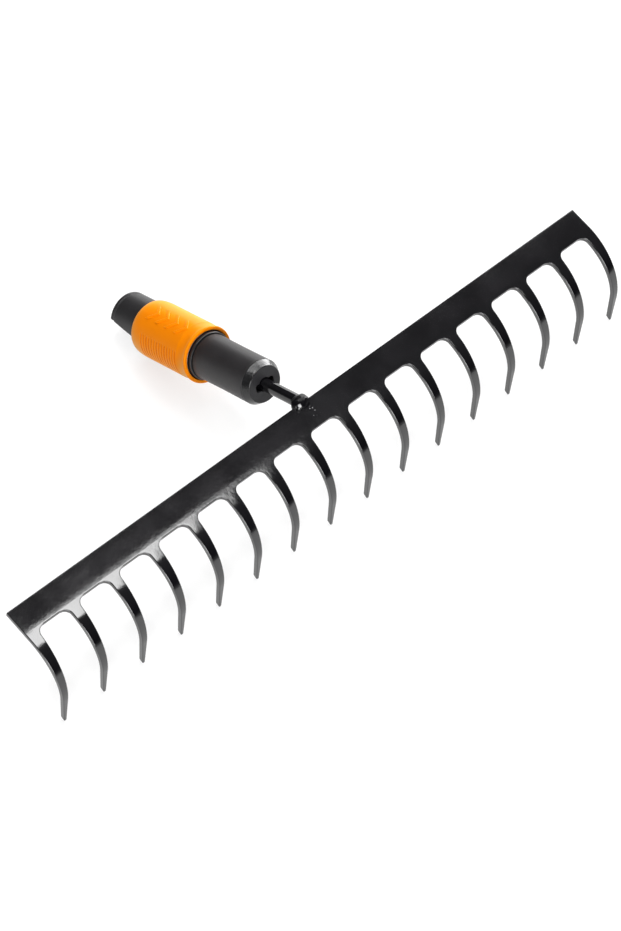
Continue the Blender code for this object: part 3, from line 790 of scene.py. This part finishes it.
def build_rod(paint):
    """Round rod, forged flat inside the cap into the tang."""
    tilt = math.radians(PLATE_TILT)
    foot = section(ROD_RADIUS, ROD_RADIUS, ROUND_POWER)
    rings = [[(x, (FIT_GAP - z * math.sin(tilt)) / math.cos(tilt), z) for x, z in foot]]
    for step in range(TANG_STEPS + 1):
        share = step / TANG_STEPS
        ease = share * share * (3 - 2 * share)
        width = ROD_RADIUS + (TANG_WIDTH / 2 - ROD_RADIUS) * ease
        height = ROD_RADIUS + (TANG_THICKNESS / 2 - ROD_RADIUS) * ease
        station = CAP_FACE_Y + TANG_SHOULDER * share
        power = ROUND_POWER + (TANG_POWER - ROUND_POWER) * ease
        rings.append([(x, station, z) for x, z in section(width, height, power)])
    flat = section(TANG_WIDTH / 2, TANG_THICKNESS / 2, TANG_POWER)
    rings.append([(x, TANG_END_Y, z) for x, z in flat])
    return new_piece("rod_finish", lofted(rings), paint, "head", "neck_rod")


def bead_reach(direction):
    """Share of the weld lump's radius in a direction: a run of metal with a few soft lobes."""
    reach = 1.0
    for centre, height, spread in BEAD_LOBES:
        away = (Vector(centre).normalized() - direction).length_squared
        reach += height * math.exp(-away / spread)
    return reach + BEAD_ROUGHNESS * noise.noise(direction * BEAD_GRAIN)


def drop(place, radius, facet=None):
    """A drop of metal; one that ran has a flat crater that faces along the facet's direction."""
    bm = bmesh.new()
    detail = RUN_DETAIL if facet else SPATTER_DETAIL
    bmesh.ops.create_icosphere(bm, subdivisions=detail, radius=radius)
    for vert in bm.verts:
        if facet:
            over = vert.co.dot(facet) - RUN_FLAT * radius
            vert.co -= facet * max(over, 0.0)
        vert.co += Vector(place)
    return bm


def build_bead(paints):
    """The weld: a lump over the rod's foot and the plate, a drop that ran, and a trail of spatter."""
    bm = bmesh.new()
    bmesh.ops.create_icosphere(bm, subdivisions=LUMP_DETAIL, radius=1.0)
    centre, size = Vector(BEAD_CENTRE), Vector(BEAD_SIZE)
    for vert in bm.verts:
        direction = vert.co.normalized()
        reach = bead_reach(direction)
        vert.co = centre + Vector([along * length * reach for along, length in zip(direction, size)])
    dull = len(bm.faces)
    add_to(bm, drop(RUN_CENTRE, RUN_RADIUS, Vector(RUN_FACET).normalized()))
    painted = len(bm.faces)
    for number in range(SPATTER_COUNT):
        share = number / (SPATTER_COUNT - 1)
        x, reach = [first + (last - first) * share for first, last in zip(SPATTER_START, SPATTER_END)]
        radius = SPATTER_RADIUS * (SPATTER_LEAST + (1 - SPATTER_LEAST) * noise.cell((number, 0.0, 0.0)))
        x += SPATTER_SPREAD * (2 * noise.cell((number, SPATTER_SIDE_SEED, 0.0)) - 1)
        reach += SPATTER_SPREAD * (noise.cell((number, 0.0, SPATTER_REACH_SEED)) - 0.5)
        add_to(bm, drop((x, *blade_point(reach, 0.0)), radius))
    for index, face in enumerate(bm.faces):
        face.material_index = int(index >= dull) + int(index >= painted)
    bead = new_piece("bead_finish", bm, paints["weld"], "head", "weld_bead")
    bead.data.materials.append(paints["blade"])
    bead.data.materials.append(paints["spatter"])
    return bead


# Socket

def build_cap(face_plastic, chamfer_plastic):
    """Chamfered cap: a matt face with the rod's hole and the tang's slot, and a bright trimmed chamfer."""
    loop = [(CAP_FACE_Y, 0.0), (CAP_FACE_Y, CAP_FACE_RADIUS),
            (CAP_RIM_Y - EDGE_BREAK, CAP_RIM_RADIUS), (CAP_RIM_Y, CAP_RIM_RADIUS),
            (CAP_RIM_Y, PLUG_RADIUS), (CAP_END_Y, PLUG_RADIUS), (CAP_END_Y, 0.0)]
    slot = rounded_rectangle(SLOT_WIDTH, SLOT_HEIGHT, SLOT_CORNER)
    start, end = CAP_FACE_Y - ROD_RADIUS, CAP_END_Y + ROD_RADIUS
    hole = section(ROD_RADIUS + ROD_CLEARANCE, ROD_RADIUS + ROD_CLEARANCE, ROUND_POWER, HOLE_STEPS)
    cutters = [prism(slot, start, end, along_y), prism(hole, start - FIT_GAP, end + FIT_GAP, along_y)]
    bm = carved("cap_work", turned(softened(loop, TURNED_ROUNDING)), cutters, CARVED_ROUNDING)
    inner = CAP_FACE_RADIUS - (CAP_RIM_RADIUS - CAP_FACE_RADIUS) / 2
    for face in bm.faces:
        centre = face.calc_center_median()
        outward = math.hypot(centre.x, centre.z)
        sloping = CHAMFER_SLOPE[0] < face.normal.y < CHAMFER_SLOPE[1]
        if sloping and outward > inner and centre.y < CAP_RIM_Y:
            face.material_index = 1
    cap = new_piece("cap_finish", bm, face_plastic, "head", "end_cap")
    cap.data.materials.append(chamfer_plastic)
    return cap


def build_sleeve(plastic):
    """The grip sleeve, drawn in by a hair at its middle as it shrinks in the mould."""
    waist = SLEEVE_RADIUS - SLEEVE_WALL / SLEEVE_SINK_DIVISOR
    loop = [(SLEEVE_Y, SLEEVE_BORE), (SLEEVE_Y, SLEEVE_RADIUS), ((SLEEVE_Y + SLEEVE_END_Y) / 2, waist),
            (SLEEVE_END_Y, SLEEVE_RADIUS), (SLEEVE_END_Y, SLEEVE_BORE)]
    bm = turned(softened(loop, EDGE_BREAK))
    return new_piece("sleeve_finish", bm, plastic, "head", "outer_sleeve")


def build_ring(plastic):
    """The ring between the sleeve and the core, every corner of it eased."""
    loop = [(RING_Y, SLEEVE_BORE), (RING_Y, RING_RADIUS - RING_CHAMFER / 2),
            (RING_Y + RING_CHAMFER, RING_RADIUS), (RING_END_Y, RING_RADIUS), (RING_END_Y, SLEEVE_BORE)]
    bm = turned(softened(loop, TURNED_ROUNDING, RING_CORNER_ANGLE))
    return new_piece("ring_finish", bm, plastic, "head", "stop_ring")


def scarf_outline():
    """(station, height) corners of the wedge that is cut off under the mouth."""
    start = MOUTH_Y - SCARF_LENGTH
    end = MOUTH_Y + SCARF_LENGTH / 2
    slope = math.tan(math.radians(SCARF_ANGLE))
    low = -2 * SOCKET_RADIUS
    return [(start, low), (end, low), (end, SCARF_HEIGHT + slope * (end - MOUTH_Y)),
            (start, SCARF_HEIGHT + slope * (start - MOUTH_Y))]


def window_cutters():
    """Stepped windows for the two pawls."""
    length = PAWL_LENGTH + 2 * FIT_GAP
    middle = (PAWL_Y + PAWL_END_Y) / 2
    reach = SOCKET_RADIUS * 1.5
    cutters = []
    for side in (1, -1):
        for low, width in ((0.0, PAWL_STEM_WIDTH), (LEDGE_RADIUS, PAWL_HEAD_WIDTH)):
            near, far = side * low, side * (low + reach)
            outline = [(middle - length / 2, near), (middle + length / 2, near),
                       (middle + length / 2, far), (middle - length / 2, far)]
            half = width / 2 + FIT_GAP
            cutters.append(prism(outline, -half, half, along_x))
    return cutters


def build_core(plastic):
    """The socket: its bore, its pawl windows, the fine groove and the scarfed mouth."""
    groove = MOUTH_Y - GROOVE_SETBACK
    floor = SOCKET_RADIUS - GROOVE_DEPTH
    loop = [(CORE_Y, 0.0), (CORE_Y, PLUG_RADIUS), (SEAT_Y, PLUG_RADIUS), (SEAT_Y, SEAT_RADIUS),
            (SHOULDER_Y, SEAT_RADIUS), (SHOULDER_Y, SOCKET_RADIUS),
            (groove - GROOVE_WIDTH / 2, SOCKET_RADIUS),
            (groove - GROOVE_WIDTH / 4, floor), (groove + GROOVE_WIDTH / 4, floor),
            (groove + GROOVE_WIDTH / 2, SOCKET_RADIUS), (MOUTH_Y - EDGE_BREAK, SOCKET_RADIUS),
            (MOUTH_Y, SOCKET_RADIUS - EDGE_BREAK), (MOUTH_Y, BORE_RADIUS + MOUTH_CHAMFER),
            (MOUTH_Y - MOUTH_CHAMFER, BORE_RADIUS), (BORE_Y, BORE_RADIUS), (BORE_Y, 0.0)]
    slot = rounded_rectangle(TANG_WIDTH + 2 * FIT_GAP, TANG_THICKNESS + 2 * FIT_GAP, TANG_THICKNESS / 6, 3)
    tang = prism(slot, CORE_Y - FIT_GAP, TANG_END_Y + FIT_GAP, along_y)
    width = 2 * SOCKET_RADIUS
    scarf = prism(scarf_outline(), -width, width, along_x)
    cutters = [tang, scarf] + window_cutters()
    bm = carved("core_work", turned(softened(loop, TURNED_ROUNDING)), cutters, CARVED_ROUNDING)
    return new_piece("core_finish", bm, plastic, "head", "socket_core")


def collar_loop():
    """Closed (station, radius) loop of the collar: outside from the lip to the far end, then inside."""
    band_end = COLLAR_Y + COLLAR_BAND
    outside = [(COLLAR_Y, COLLAR_LIP_RADIUS - EDGE_BREAK), (COLLAR_Y + EDGE_BREAK, COLLAR_LIP_RADIUS),
               (COLLAR_Y + COLLAR_LIP, COLLAR_LIP_RADIUS),
               (COLLAR_Y + 2 * COLLAR_LIP, COLLAR_BAND_RADIUS), (band_end - COLLAR_LIP, COLLAR_BAND_RADIUS),
               (band_end, COLLAR_RADIUS)]
    start = band_end + EDGE_BREAK
    end = COLLAR_END_Y - COLLAR_SHOULDER
    rows = GRIP_RIBS * GRIP_ROWS
    outside += [(start + (end - start) * row / rows, COLLAR_RADIUS) for row in range(rows + 1)]
    end_radius = COLLAR_BORE + COLLAR_END_WALL
    for step in range(1, SHOULDER_STEPS + 1):
        angle = math.pi / 2 * step / SHOULDER_STEPS
        outside.append((end + COLLAR_SHOULDER * math.sin(angle),
                        end_radius + (COLLAR_RADIUS - end_radius) * math.cos(angle)))
    inside = [(COLLAR_END_Y, COLLAR_BORE), (LAND_END_Y, COLLAR_BORE), (LAND_END_Y, LAND_BORE),
              (LAND_Y, LAND_BORE), (LAND_Y, CHAMBER_RADIUS), (COLLAR_Y, CHAMBER_RADIUS)]
    return softened(outside + inside, COLLAR_ROUNDING)


def grip_shape(station, radius, angle):
    """V grooves in two patches at the collar's sides, fading out at the patches' ends."""
    if radius < COLLAR_BAND_RADIUS:
        return radius
    first = COLLAR_Y + COLLAR_BAND + GRIP_START
    rib = (station - first) / GRIP_PITCH
    if rib < -0.5 or rib > GRIP_RIBS - 0.5:
        return radius
    off_side = abs(math.degrees(math.asin(math.sin(angle))))
    fade = min(max((GRIP_HALF_ANGLE - off_side) / GRIP_FADE_ANGLE, 0.0), 1.0)
    valley = max(0.0, 1.0 - abs(rib - round(rib)) / GRIP_VALLEY)
    return radius - GRIP_DEPTH * valley * fade


def build_collar(plastic, groove):
    """The sliding collar: stepped lip, grip ribs with painted shade in their grooves, and pockets for the pawls.
    """
    start, end = PAWL_Y - FIT_GAP, PAWL_END_Y + COLLAR_TRAVEL + FIT_GAP
    top = COLLAR_BORE + PAWL_THROW
    outline = [(start, BORE_RADIUS), (end, BORE_RADIUS), (end, top), (PAWL_Y + COLLAR_TRAVEL, top),
               (PAWL_Y, COLLAR_BORE), (start, COLLAR_BORE)]
    half = PAWL_HEAD_WIDTH / 2 + FIT_GAP
    pockets = [prism([(u, side * v) for u, v in outline], -half, half, along_x) for side in (1, -1)]
    bm = carved("collar_work", turned(collar_loop(), grip_shape), pockets)
    # Faces deep in the grooves take the second, darker orange: painted shade.
    first = COLLAR_Y + COLLAR_BAND
    for face in bm.faces:
        centre = face.calc_center_median()
        outward = math.hypot(centre.x, centre.z)
        in_grip = first < centre.y < first + GRIP_START + GRIP_RIBS * GRIP_PITCH
        if in_grip and COLLAR_RADIUS - GRIP_DEPTH < outward < COLLAR_RADIUS - GRIP_SHADE * GRIP_DEPTH:
            face.material_index = 1
    collar = new_piece("collar_finish", bm, plastic, "collar", "lock_collar")
    collar.data.materials.append(groove)
    return collar


def on_collar(station, around, lift):
    """A point over the collar's skin, a distance round it from the arrows' centre line."""
    angle = math.radians(ARROW_ANGLE) + around / COLLAR_RADIUS
    radius = COLLAR_RADIUS + lift
    return (radius * math.cos(angle), station, radius * math.sin(angle))


def build_arrows(plastic):
    """Raised arrows that point the way the collar is pulled."""
    bm = bmesh.new()
    half = ARROW_STROKE / 2
    root = -EDGE_BREAK
    edge = ARROW_CROWN * ARROW_HEIGHT
    shape = ((-1.0, root), (-1.0, edge), (-ARROW_CROWN, ARROW_HEIGHT),
             (ARROW_CROWN, ARROW_HEIGHT), (1.0, edge), (1.0, root))
    for number in range(ARROW_COUNT):
        nose = COLLAR_Y + ARROW_START + number * ARROW_PITCH
        rows = []
        for step in range(-ARROW_STEPS, ARROW_STEPS + 1):
            around = ARROW_REACH * step / ARROW_STEPS
            middle = nose + abs(around)
            rows.append([on_collar(middle + half * math.sqrt(2) * share, around, lift)
                         for share, lift in shape])
        rings = [[bm.verts.new(point) for point in row] for row in rows]
        bm.faces.new(rings[0])
        bm.faces.new(rings[-1])
        for near, far in zip(rings, rings[1:]):
            for index in range(len(near)):
                after = (index + 1) % len(near)
                bm.faces.new((near[index], near[after], far[after], far[index]))
    return new_piece("collar_arrows", bm, plastic, "collar", None, ARROW_SMOOTH_ANGLE)


def spring_line(turn):
    """Centre of the wire after a number of turns, wound closer for one turn at each end."""
    end_pitch = SPRING_WIRE + SPRING_END_GAP
    pitch = (SPRING_LENGTH - SPRING_WIRE - 2 * end_pitch) / SPRING_TURNS
    rise = end_pitch * min(turn, 1.0) + pitch * min(max(turn - 1.0, 0.0), SPRING_TURNS)
    rise += end_pitch * max(turn - 1.0 - SPRING_TURNS, 0.0)
    angle = 2 * math.pi * turn
    y = SEAT_Y + SPRING_WIRE / 2 + rise
    return Vector((SPRING_RADIUS * math.cos(angle), y, SPRING_RADIUS * math.sin(angle)))


def build_spring(steel):
    """The return spring, which shortens as the collar is pulled."""
    total = (SPRING_TURNS + 2) * SPRING_STEPS
    along = Vector((0.0, 1.0, 0.0))
    rings = []
    for step in range(total + 1):
        centre = spring_line(step / SPRING_STEPS)
        out = Vector((centre.x, 0.0, centre.z)).normalized()
        ring = []
        for side in range(SPRING_SIDES):
            angle = 2 * math.pi * side / SPRING_SIDES
            ring.append(centre + (out * math.cos(angle) + along * math.sin(angle)) * SPRING_WIRE / 2)
        rings.append(ring)
    piece = new_piece("spring_finish", lofted(rings), steel, "head", "return_spring")
    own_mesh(piece)
    return piece


# Stage

def build_floor():
    """Pale floor: white to the eye and in reflections, and still shaded by the object."""
    bm = bmesh.new()
    bmesh.ops.create_grid(bm, x_segments=1, y_segments=1, size=FLOOR_SIZE)
    mesh = bpy.data.meshes.new("floor")
    bm.to_mesh(mesh)
    bm.free()
    floor = bpy.data.objects.new("floor", mesh)
    bpy.context.scene.collection.objects.link(floor)
    material = bpy.data.materials.new("pale_floor")
    material.use_nodes = True
    tree = material.node_tree
    tree.nodes.clear()
    output = tree.nodes.new("ShaderNodeOutputMaterial")
    diffuse = tree.nodes.new("ShaderNodeBsdfDiffuse")
    diffuse.inputs["Color"].default_value = (FLOOR_COLOUR, FLOOR_COLOUR, FLOOR_COLOUR, 1.0)
    glow = tree.nodes.new("ShaderNodeEmission")
    rays = tree.nodes.new("ShaderNodeLightPath")
    seen = sum_values(tree, rays.outputs["Is Camera Ray"], rays.outputs["Is Glossy Ray"], 1.0)
    seen = sum_values(tree, seen, rays.outputs["Is Transmission Ray"], 1.0)
    link(tree, ramp(tree, seen, 0.0, 1.0, 0.0, FLOOR_GLOW), glow.inputs["Strength"])
    both = tree.nodes.new("ShaderNodeAddShader")
    link(tree, diffuse.outputs["BSDF"], both.inputs[0])
    link(tree, glow.outputs["Emission"], both.inputs[1])
    link(tree, both.outputs["Shader"], output.inputs["Surface"])
    mesh.materials.append(material)


def build_world():
    """Pale round the horizon, dark above it, and a dim studio ceiling on top."""
    world = bpy.data.worlds.new("studio")
    world.use_nodes = True
    tree = world.node_tree
    background = tree.nodes["Background"]
    split = tree.nodes.new("ShaderNodeSeparateXYZ")
    link(tree, tree.nodes.new("ShaderNodeTexCoord").outputs["Generated"], split.inputs["Vector"])
    shade = tree.nodes.new("ShaderNodeValToRGB")
    stops = shade.color_ramp.elements
    for number, (elevation, level) in enumerate(SKY):
        stop = stops[number] if number < 2 else stops.new(0.5)
        stop.position = math.sin(math.radians(elevation))
        stop.color = (level, level, level, 1.0)
    link(tree, split.outputs["Z"], shade.inputs["Fac"])
    link(tree, shade.outputs["Color"], background.inputs["Color"])
    bpy.context.scene.world = world


def softbox(name, place, target, width, height, radiance):
    """A soft rectangular lamp that faces the target."""
    lamp = bpy.data.lights.new(name, "AREA")
    lamp.shape = "RECTANGLE"
    lamp.size = width
    lamp.size_y = height
    lamp.energy = radiance * math.pi * width * height
    item = bpy.data.objects.new(name, lamp)
    item.location = place
    item.rotation_euler = (Vector(target) - Vector(place)).to_track_quat("-Z", "Y").to_euler()
    item.visible_camera = False
    bpy.context.scene.collection.objects.link(item)


def build_lights():
    """Lamps under the ceiling, then those round the head."""
    for name, place, width, height, radiance in CEILING_LAMPS:
        softbox(name, place, (place[0], place[1], 0.0), width, height, radiance)
    for name, place, width, height, radiance in SIDE_LAMPS:
        softbox(name, place, LAMP_TARGET, width, height, radiance)


def build_camera():
    """The fitted camera: a long lens that looks down from the front left."""
    data = bpy.data.cameras.new("camera")
    data.lens = CAMERA_LENS
    data.sensor_width = CAMERA_SENSOR
    camera = bpy.data.objects.new("camera", data)
    azimuth, elevation = math.radians(CAMERA_AZIMUTH), math.radians(CAMERA_ELEVATION)
    back = Vector((math.sin(azimuth) * math.cos(elevation), -math.cos(azimuth) * math.cos(elevation),
                   math.sin(elevation)))
    camera.location = Vector(CAMERA_TARGET) + back * CAMERA_DISTANCE
    turn = back.to_track_quat("Z", "Y").to_matrix() @ Matrix.Rotation(math.radians(CAMERA_ROLL), 3, "Z")
    camera.rotation_euler = turn.to_euler()
    data.clip_end = CAMERA_REACH
    bpy.context.scene.collection.objects.link(camera)
    bpy.context.scene.camera = camera


def build_materials():
    """The materials by use; a plastic takes its colour, its paler tone and its texture."""
    return {
        "blade": gloss_paint("blade_black", (0.0024, 0.0022, 0.0031),
                             rough=0.1, peel=0.13, gloss=1.8, wave=0.8),
        "rod": gloss_paint("rod_black", (0.003, 0.0028, 0.0036), rough=0.12, peel=0.03, gloss=1.6),
        "weld": gloss_paint("weld_black", (0.0028, 0.0026, 0.0034), rough=0.28, peel=0.4, gloss=1.26),
        "spatter": bright_steel("spatter_steel", (0.42, 0.42, 0.43), rough=0.5),
        "cap": moulded_plastic("cap_black", (0.012, 0.0117, 0.0135), (0.022, 0.0215, 0.024),
                               rough=0.5, texture=1500.0, depth=0.2),
        "chamfer": brushed_plastic("chamfer_black", (0.008, 0.008, 0.0085), rough=0.17, gloss=1.54),
        "sleeve": moulded_plastic("sleeve_black", (0.0105, 0.0095, 0.0105), (0.019, 0.017, 0.0185),
                                  rough=0.46, texture=2200.0, depth=0.3),
        "ring": moulded_plastic("ring_black", (0.010, 0.010, 0.0105), (0.018, 0.018, 0.0185),
                                rough=0.34, texture=2200.0, depth=0.12),
        "core": moulded_plastic("core_black", (0.0095, 0.009, 0.010), (0.018, 0.017, 0.0185),
                                rough=0.42, texture=2200.0, depth=0.25),
        # The collar's second colour is a painted sheen that shows toward its silhouette.
        "collar": sheen_painted_plastic("collar_orange", (0.86, 0.226, 0.0015), (0.95, 0.38, 0.004),
                                  rough=0.36, texture=2400.0, depth=0.1),
        # groove: a darker orange, painted shade in the grip's grooves; its second colour is a painted sheen.
        "groove": sheen_painted_plastic("groove_orange_painted_shade", (0.7, 0.14, 0.001), (0.76, 0.22, 0.002),
                                  rough=0.5, texture=2400.0, depth=0.2),
        "steel": bright_steel("spring_steel", (0.09, 0.09, 0.095), rough=0.4),
        "pin": bright_steel("pin_steel", (0.5, 0.5, 0.5), rough=0.35),
        "pawl": bright_steel("pawl_steel", (0.36, 0.36, 0.37), rough=0.38),
    }


def dress_nodes(paints):
    """Better materials on the solids that stay."""
    for node, paint in (("tang_pin", "pin"), ("latch_pawl_top", "pawl"), ("latch_pawl_bottom", "pawl")):
        mesh = frame["nodes"][node].data
        mesh.materials.clear()
        mesh.materials.append(paints[paint])


paints = build_materials()
build_blade(paints["blade"])
build_rod(paints["rod"])
build_bead(paints)
build_cap(paints["cap"], paints["chamfer"])
build_sleeve(paints["sleeve"])
build_ring(paints["ring"])
build_core(paints["core"])
build_collar(paints["collar"], paints["groove"])
build_arrows(paints["collar"])
build_spring(paints["steel"])
dress_nodes(paints)
build_floor()
build_world()
build_lights()
build_camera()
bpy.context.scene.view_settings.view_transform = "Standard"
